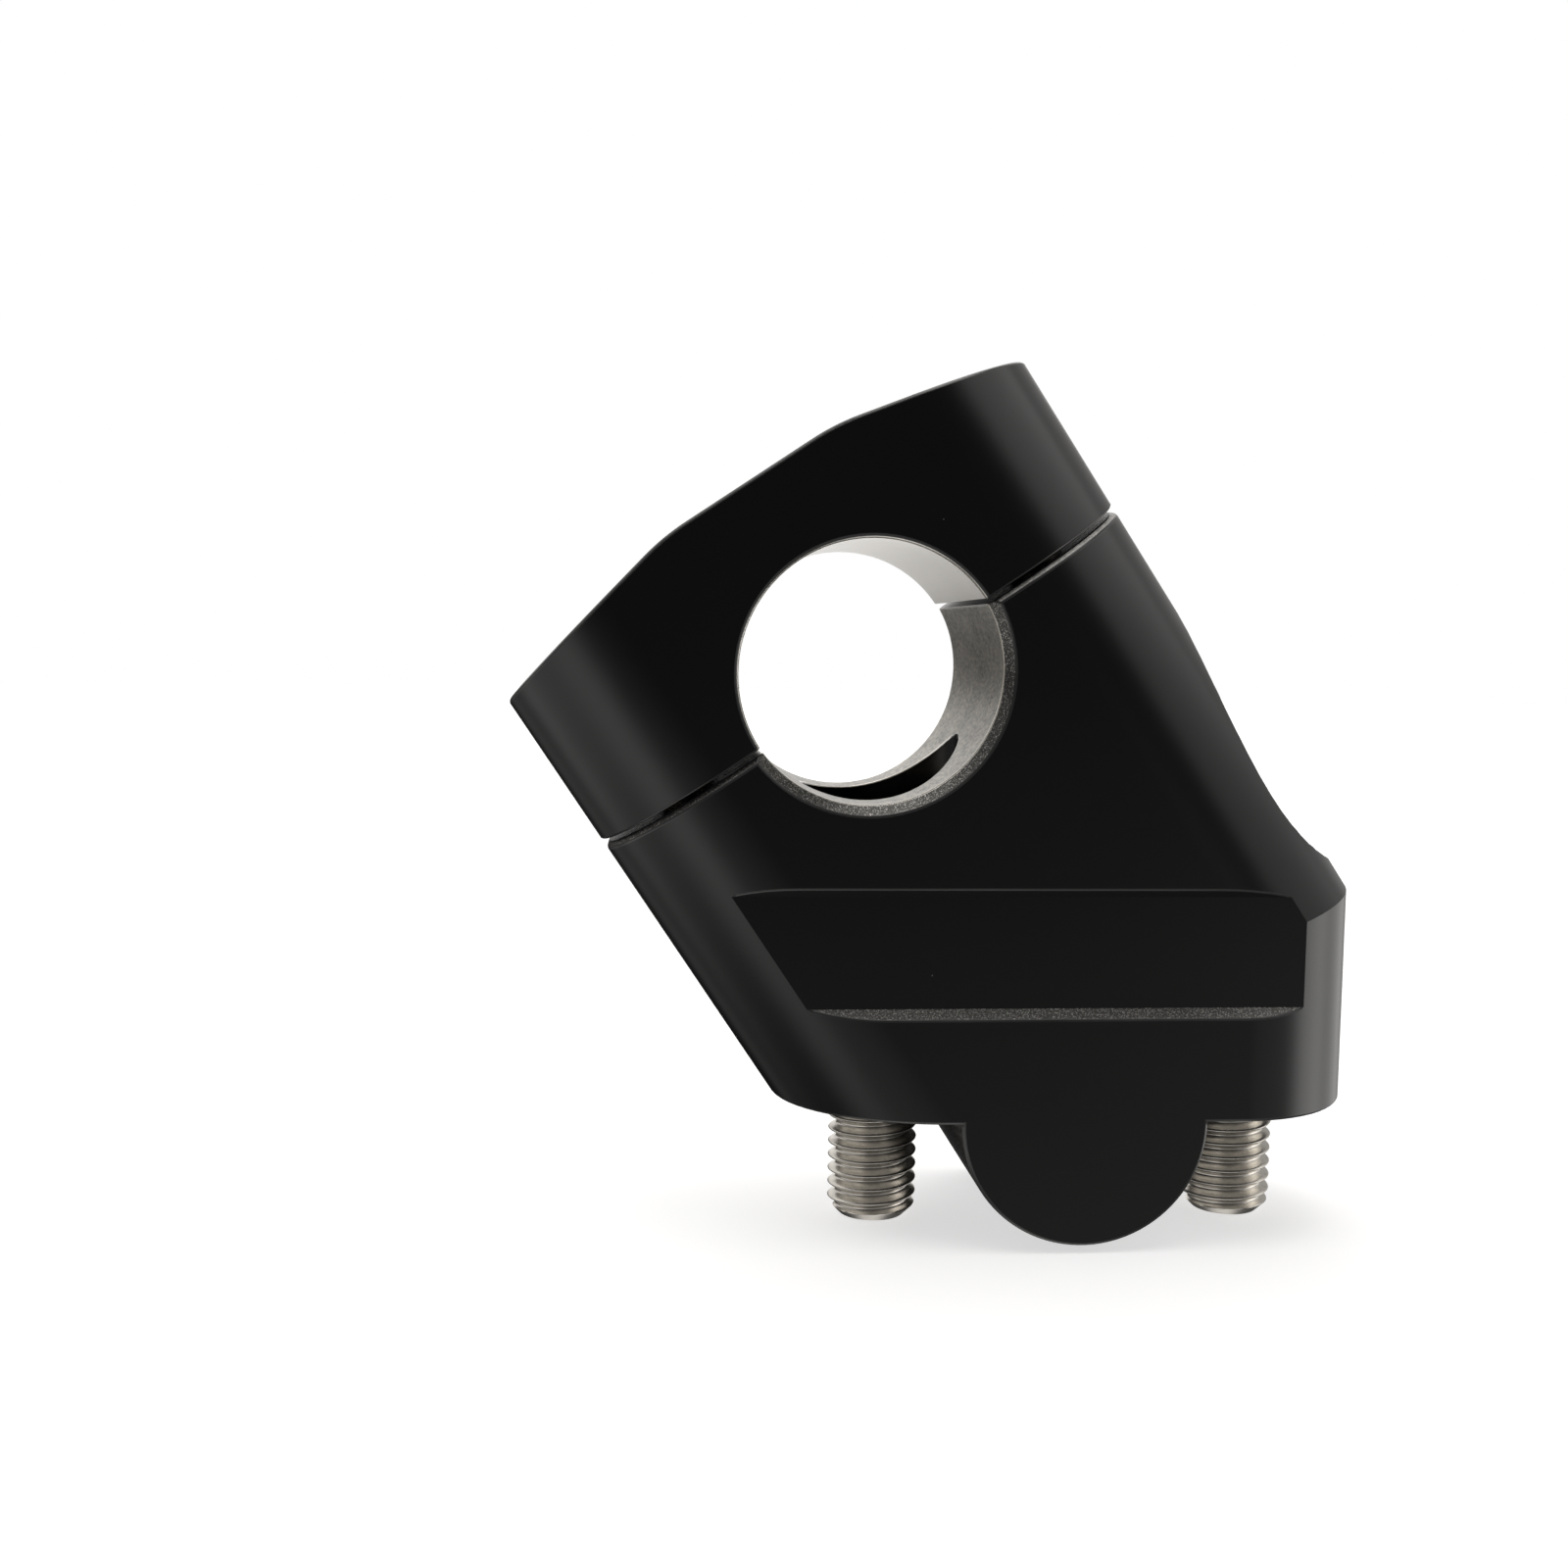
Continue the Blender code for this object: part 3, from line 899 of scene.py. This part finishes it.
def dust_group() -> bpy.types.NodeTree:
    """Builds the shared mask of stray dust on a dark surface.

    Cells of a Voronoi pattern on Object coordinates each hold one point and a random colour.
    A cell whose red is below the share has a speck round its point. Its green sets the speck's
    size, 0.4 to 1.2 times the radius, and the speck fades out over the outer two fifths.

    Returns:
        The node group.
    """
    sheet, given, result = new_group(
        "stray_dust", {"Cells per metre": 220.0, "Radius": 0.022, "Share": 0.30}, ("Specks",),
    )
    where = sheet.node("TexCoord").outputs["Object"]
    cells = sheet.node("TexVoronoi", {"Vector": where, "Scale": given["Cells per metre"]})
    parts = sheet.node("SeparateColor", {"Color": cells.outputs["Color"]})
    size = sheet.math("MULTIPLY", given["Radius"], sheet.range(parts.outputs["Green"], 0.0, 1.0, 0.4, 1.2))
    inside = sheet.range(cells.outputs["Distance"], sheet.math("MULTIPLY", size, 0.6), size, 1.0, 0.0)
    chosen = sheet.math("LESS_THAN", parts.outputs["Red"], given["Share"])
    sheet.wire(result, {"Specks": sheet.math("MULTIPLY", inside, chosen)})
    return sheet.tree


@dataclass(frozen=True)
class SharedEffects:
    """The node groups that every finish places with its own values."""

    grain: bpy.types.NodeTree
    dust: bpy.types.NodeTree


@dataclass(frozen=True)
class BlackAnodised:
    """Blasted aluminium under a black anodised layer, with its cuts a little lighter.

    fleck_grains and pit_grains are factors on grains, and the pits are stretched along the
    bar. The bar's bore is painted lighter than the skin, partly a painted reflection. The
    split's chamfer is painted as bright, rougher metal past split_sheen_from, a painted
    sheen. The painted edge highlight, uneven like wear, the patches and the blotches each
    come up over a range of a noise. The rougher values are added to the skin's roughness,
    and the relief values are multiples of relief_height.
    """

    name: str = "black_anodised"
    dark: Colour = (0.0022, 0.0022, 0.0025, 1.0)
    # Painted highlight on the broken edges, uneven like wear.
    worn_edge_highlight: Colour = (0.050, 0.050, 0.050, 1.0)
    dust: Colour = (0.12, 0.12, 0.12, 1.0)
    cut: Colour = (0.065, 0.064, 0.061, 1.0)
    spark: Colour = (0.48, 0.47, 0.45, 1.0)
    # Painted sheen on the split's chamfer towards the channel.
    split: Colour = (0.50, 0.49, 0.47, 1.0)
    rim: Colour = (0.86, 0.84, 0.79, 1.0)
    # The bore is painted lighter than the skin, partly a painted reflection, with a blasted mottle.
    bore: Colour = (0.10, 0.094, 0.084, 1.0)
    bore_spark: Colour = (0.55, 0.52, 0.46, 1.0)
    bore_metal: float = 0.45
    bore_mottle: float = 0.75
    bore_roughness: float = 0.36
    cut_metal: float = 0.9
    cut_rougher: float = 0.10
    split_sheen_rougher: float = 0.16
    split_sheen_from: float = -15.0 * MM
    split_sheen_full: float = -8.0 * MM
    worn_highlight_range: Pair = (0.3, 0.7)
    least_worn_highlight: float = 0.4
    patch_range: Pair = (0.42, 0.56)
    least_patch: float = 0.35
    blotch_range: Pair = (0.36, 0.62)
    blotch_share: float = 0.5
    roughness: float = 0.25
    uneven: float = 0.02
    grains: float = 5200.0
    fleck_grains: float = 1.5
    pit_grains: float = 0.6
    pit_stretch: Triple = (1.0, 0.4, 1.0)
    relief_height: float = 0.02 * MM
    skin_relief: float = 0.2
    cut_relief: float = 1.0
    pit_relief: float = 1.4

    def material(self, shared: SharedEffects) -> bpy.types.Material:
        """Builds the finish.

        Args:
            shared: the shared node groups.

        Returns:
            The material.
        """
        material, shader = shader_material(self.name)
        sheet = NodeSheet(material.node_tree)
        grain = sheet.group(shared.grain, {"Grains per metre": self.grains})
        fleck = sheet.group(shared.grain, {"Grains per metre": self.grains * self.fleck_grains})
        pit = sheet.group(
            shared.grain, {"Grains per metre": self.grains * self.pit_grains, "Stretch": self.pit_stretch},
        )
        dust = sheet.group(shared.dust)
        cloud = grain.outputs["Cloud"]
        edge, rim, chamfer, bore = (sheet.mask(name) for name in ("edge", "rim", "chamfer", "bar_bore"))

        # Broken edges get a painted highlight, uneven like wear.
        worn_edge_highlight = sheet.math("MULTIPLY", edge, sheet.range(cloud, *self.worn_highlight_range, self.least_worn_highlight))
        flecked = sheet.blend(fleck.outputs["Sparkle"], self.cut, self.spark)
        # The chamfer along the split is painted as bright, rougher metal between the bore and the channel, a
        # painted sheen.
        where = sheet.node("SeparateXYZ", {"Vector": sheet.node("TexCoord").outputs["Object"]})
        beyond = sheet.range(where.outputs["X"], self.split_sheen_from, self.split_sheen_full)
        split_sheen = sheet.math("MULTIPLY", sheet.mask("split"), beyond)
        patchy = sheet.range(grain.outputs["Height"], *self.patch_range, self.least_patch)
        # The blasted bore is blotched with darker pits, and its lighter colour is partly a painted
        # reflection.
        mottle = (1.0 - self.bore_mottle, 1.0 + self.bore_mottle)
        blotch = sheet.range(pit.outputs["Height"], *self.blotch_range, *mottle)
        blotched = sheet.blend(sheet.math("MULTIPLY", blotch, self.blotch_share), self.bore, self.bore_spark)
        colour = self.dark
        for share, over in (
            (dust.outputs["Specks"], self.dust), (worn_edge_highlight, self.worn_edge_highlight), (chamfer, flecked),
            (sheet.math("MULTIPLY", split_sheen, patchy), self.split), (bore, blotched), (rim, self.rim),
        ):
            colour = sheet.blend(share, colour, over)

        rough = sheet.range(cloud, 0.0, 1.0, self.roughness - self.uneven, self.roughness + self.uneven)
        for share, rougher in (
            (bore, self.bore_roughness - self.roughness), (chamfer, self.cut_rougher),
            (split_sheen, self.split_sheen_rougher),
        ):
            rough = sheet.math("MULTIPLY_ADD", share, rougher, rough)

        cut_metal = sheet.math("MULTIPLY", chamfer, self.cut_metal)
        metal = sheet.math("MULTIPLY_ADD", bore, self.bore_metal, cut_metal)
        rim_metal = sheet.math("MULTIPLY", rim, self.cut_metal)

        relief = sheet.math("MULTIPLY_ADD", chamfer, self.cut_relief, self.skin_relief)
        fine = sheet.math("MULTIPLY", grain.outputs["Height"], relief)
        pits = sheet.math("MULTIPLY", sheet.math("MULTIPLY", bore, self.bore_mottle), pit.outputs["Height"])
        height = sheet.math("MULTIPLY_ADD", pits, self.pit_relief, fine)
        sheet.wire(shader, {
            "Base Color": colour, "Roughness": rough,
            "Metallic": sheet.math("MAXIMUM", metal, rim_metal),
            "Normal": sheet.bump(height, self.relief_height),
        })
        return material


@dataclass(frozen=True)
class PlainStainless:
    """Rolled and turned stainless steel, warm grey."""

    name: str = "plain_stainless"
    light: Colour = (0.66, 0.63, 0.58, 1.0)
    dull: Colour = (0.52, 0.50, 0.455, 1.0)
    smoothest: float = 0.21
    roughest: float = 0.37
    grains: float = 3600.0
    stretch: Triple = (0.35, 0.35, 1.6)
    relief_height: float = 0.01 * MM
    relief: float = 0.25

    def material(self, shared: SharedEffects) -> bpy.types.Material:
        """Builds the finish.

        Args:
            shared: the shared node groups.

        Returns:
            The material.
        """
        material, shader = shader_material(self.name)
        sheet = NodeSheet(material.node_tree)
        grain = sheet.group(shared.grain, {"Grains per metre": self.grains, "Stretch": self.stretch})
        height = grain.outputs["Height"]
        sheet.wire(shader, {
            "Base Color": sheet.blend(grain.outputs["Sparkle"], self.light, self.dull), "Metallic": 1.0,
            "Roughness": sheet.range(height, 0.0, 1.0, self.smoothest, self.roughest),
            "Normal": sheet.bump(height, self.relief_height, self.relief),
        })
        return material


@dataclass(frozen=True)
class PaleFloor:
    """Matt pale floor. A little white light of its own lets it run out into the white surroundings."""

    name: str = "pale_floor"
    grey: Colour = (0.58, 0.58, 0.58, 1.0)
    roughness: float = 0.8
    glow: float = 0.62

    def material(self) -> bpy.types.Material:
        """Builds the finish.

        Returns:
            The material.
        """
        material, shader = shader_material(self.name)
        NodeSheet(material.node_tree).wire(shader, {
            "Base Color": self.grey, "Roughness": self.roughness, "Specular IOR Level": 0.0,
            "Emission Strength": self.glow,
        })
        return material


@dataclass(frozen=True)
class SoftPanel:
    """One soft patch of light or shade far from the riser, placed by its direction in degrees.

    Azimuth 0 is to the right, -90 towards the camera, 90 behind and 180 to the left.
    """

    name: str
    azimuth: float
    elevation: float
    half_width: float
    half_height: float
    edge: float
    strength: float


# The panels that light the riser. A strength below zero is shade.
PANELS = tuple(SoftPanel(*row) for row in (
    ("right box", -8, 20, 32, 26, 5, 0.50),
    ("right box, upper half", -13, 38, 37, 14, 7, 0.52),
    ("right floor, near", -8, -14, 15, 14, 7, 1.15),
    ("right floor", 8.5, -14, 36, 14, 8, 0.99),
    ("front right floor", -46, -11, 22, 11, 8, 0.23),
    ("right back", 45, 24, 21, 26, 8, 0.35),
    ("right back floor", 58, -14, 20, 12, 8, 0.35),
    ("back", 81, 24, 15, 37, 6, 1.10),
    ("back left, high", 125, 36, 32, 30, 6, 0.85),
    ("back left, shade below", 104, -20, 13, 24, 5, -0.062),
    ("left floor, far", 130, -24, 15, 16, 8, 0.11),
    ("left", 180, 34, 28, 22, 8, 0.55),
    ("left floor", -168, -24, 44, 16, 11, 0.80),
    ("front floor", -90, -42, 60, 26, 14, 0.33),
    ("floor under", -90, -84, 181, 18, 6, 0.95),
    ("top", 90, 84, 181, 20, 8, 2.20),
    ("zenith", 90, 90, 181, 14, 6, 0.60),
    ("top, behind and left", 150, 58, 80, 12, 8, 0.80),
))


def panel_group() -> bpy.types.NodeTree:
    """Builds the shared mask of a soft panel.

    The mask is 1 round the centre and falls smoothly to 0, from the edge's width inside the
    half width or height to as far outside it. The azimuth's distance is the arccosine of the
    cosine of the difference, so that it wraps round.

    Returns:
        The node group.
    """
    inputs = (
        "Azimuth", "Elevation", "Centre azimuth", "Centre elevation", "Half width", "Half height", "Edge",
    )
    sheet, given, result = new_group("soft_panel", dict.fromkeys(inputs, 0.0), ("Mask",))

    def fall(distance: Socket, half: Socket) -> Socket:
        """Adds the smooth fall from 1 to 0 across the edge and returns its output."""
        start, stop = (sheet.math(way, half, given["Edge"]) for way in ("SUBTRACT", "ADD"))
        return sheet.range(distance, start, stop, 1.0, 0.0, Ramp.SMOOTH)

    turn = sheet.math("SUBTRACT", given["Azimuth"], given["Centre azimuth"])
    across = sheet.math("ARCCOSINE", sheet.math("COSINE", turn))
    rise = sheet.math("SUBTRACT", given["Elevation"], given["Centre elevation"])
    wide = fall(across, given["Half width"])
    tall = fall(sheet.math("ABSOLUTE", rise), given["Half height"])
    sheet.wire(result, {"Mask": sheet.math("MULTIPLY", wide, tall)})
    return sheet.tree


@dataclass
class Studio:
    """Pale floor, soft panels and the camera at the photograph's viewing angle."""

    floor_height: float = -11.25 * MM
    floor_radius: float = 1.6
    floor_rings: int = 12
    floor_spokes: int = 65
    ambient: float = 0.067
    light: Colour = (1.0, 0.985, 0.965, 1.0)
    lens: float = 39.11
    sensor: float = 36.0
    nearest: float = 0.005
    farthest: float = 20.0
    place: Triple = (-38.642 * MM, -150.028 * MM, 40.464 * MM)
    right: Triple = (0.995885, -0.089494, 0.014295)
    up: Triple = (-0.006604, 0.085652, 0.996303)
    back: Triple = (-0.090388, -0.992298, 0.084708)

    def camera(self) -> None:
        """Sets the camera where the photograph was taken from, with no shift."""
        data = bpy.data.cameras.new("camera")
        data.lens, data.sensor_width = self.lens, self.sensor
        data.clip_start, data.clip_end = self.nearest, self.farthest
        camera = bpy.data.objects.new("camera", data)
        bpy.context.scene.collection.objects.link(camera)
        turn = Matrix((self.right, self.up, self.back)).transposed().to_4x4()
        camera.matrix_world = Matrix.Translation(Vector(self.place)) @ turn
        bpy.context.scene.camera = camera
        log.info("camera: %.2f mm lens", self.lens)

    def floor(self) -> None:
        """Lays a round pale floor just under the tips of the screws.

        The grid is radius times angle: x = r cos a, y = r sin a, z = floor height. Only the
        camera sees it, so that the light from below comes from the studio's panels.
        """
        radius = np.linspace(0.0, self.floor_radius, self.floor_rings)[:, None]
        angle = np.linspace(0.0, 2 * pi, self.floor_spokes)[None, :]
        x, y = radius * np.cos(angle), radius * np.sin(angle)
        points = np.stack([x, y, np.full_like(x, self.floor_height)], axis=2)
        mesh = mesh_from_grid("floor", points)
        mesh.materials.append(PaleFloor().material())
        floor = mesh_object("floor", mesh)
        floor.visible_glossy = floor.visible_diffuse = floor.visible_shadow = False
        log.info("floor: %.1f m across", 2 * self.floor_radius)

    def world(self) -> None:
        """Surroundings that are plain white to the camera and soft panels to the riser."""
        world = bpy.data.worlds.new("studio")
        world.use_nodes = True
        sheet = NodeSheet(world.node_tree)
        way = sheet.node("SeparateXYZ", {"Vector": sheet.node("TexCoord").outputs["Generated"]})
        azimuth = sheet.math("ARCTAN2", way.outputs["Y"], way.outputs["X"])
        elevation = sheet.math("ARCSINE", way.outputs["Z"])
        shared = panel_group()
        total: Value = self.ambient
        for panel in PANELS:
            mask = sheet.group(shared, {
                "Azimuth": azimuth, "Elevation": elevation,
                "Centre azimuth": radians(panel.azimuth), "Centre elevation": radians(panel.elevation),
                "Half width": radians(panel.half_width), "Half height": radians(panel.half_height),
                "Edge": radians(panel.edge),
            })
            mask.label = panel.name
            total = sheet.math("MULTIPLY_ADD", mask.outputs["Mask"], panel.strength, total)
        light = world.node_tree.nodes["Background"]
        sheet.wire(light, {"Color": self.light, "Strength": total})
        seen = sheet.node("Background", {"Color": WHITE})
        mix = sheet.node("MixShader", {"Fac": sheet.node("LightPath").outputs["Is Camera Ray"]})
        sheet.feed(mix.inputs[1], light.outputs["Background"])
        sheet.feed(mix.inputs[2], seen.outputs["Background"])
        sheet.wire(world.node_tree.nodes["World Output"], {"Surface": mix.outputs["Shader"]})
        bpy.context.scene.world = world
        log.info("light: %d soft panels", len(PANELS))

    def build(self) -> None:
        """Builds the camera, the floor and the light."""
        self.camera()
        self.floor()
        self.world()
        view = bpy.context.scene.view_settings
        view.view_transform = "Standard"
        view.look = "None"


def screws(body: RiserBody, cap: ClampCap) -> list[SocketScrew]:
    """The four socket screws of the riser, each just off its seat.

    Args:
        body: the block that the mounting screws sit in.
        cap: the cap that the clamp screws sit in.

    Returns:
        Two mounting screws and two clamp screws.
    """
    small = dict(
        thread=6.0 * MM, pitch=1.0 * MM, length=20.0 * MM, head=10.0 * MM, head_height=6.0 * MM,
        key=5.0 * MM, key_depth=3.0 * MM, tip_chamfer=0.78 * MM, knurl_depth=0.12 * MM,
    )
    stand = Matrix.Translation((0.0, 0.0, body.screw_seat + HEAD_GAP))
    across, up = cap.clamp_screw_across, cap.seat() + HEAD_GAP
    return [
        SocketScrew("mount_bolt_saddle", Matrix.Translation((-body.screw_x, 0.0, 0.0)) @ stand),
        SocketScrew("mount_bolt_channel", Matrix.Translation((body.screw_x, 0.0, 0.0)) @ stand),
        SocketScrew("clamp_bolt_lower", cap.clamp.matrix(-across, up), **small),
        SocketScrew("clamp_bolt_upper", cap.clamp.matrix(across, up), **small),
    ]


def main() -> None:
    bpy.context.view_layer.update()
    shared = SharedEffects(grain_group(), dust_group())
    body_finish = BlackAnodised().material(shared)
    # The cap's bore is painted much lighter, a painted reflection of the white surroundings.
    cap_finish = BlackAnodised(
        name="black_anodised_cap_painted_bore_reflection", bore=(0.60, 0.57, 0.52, 1.0), bore_spark=(0.82, 0.79, 0.73, 1.0),
        bore_metal=0.6, bore_mottle=0.12, bore_roughness=0.22,
    ).material(shared)
    stainless = PlainStainless().material(shared)
    body, cap = RiserBody(), ClampCap()
    body.build().data.materials.append(body_finish)
    cap.build().data.materials.append(cap_finish)
    for screw in screws(body, cap):
        screw.build().data.materials.append(stainless)
    Studio().build()


if __name__ == "__main__":
    main()
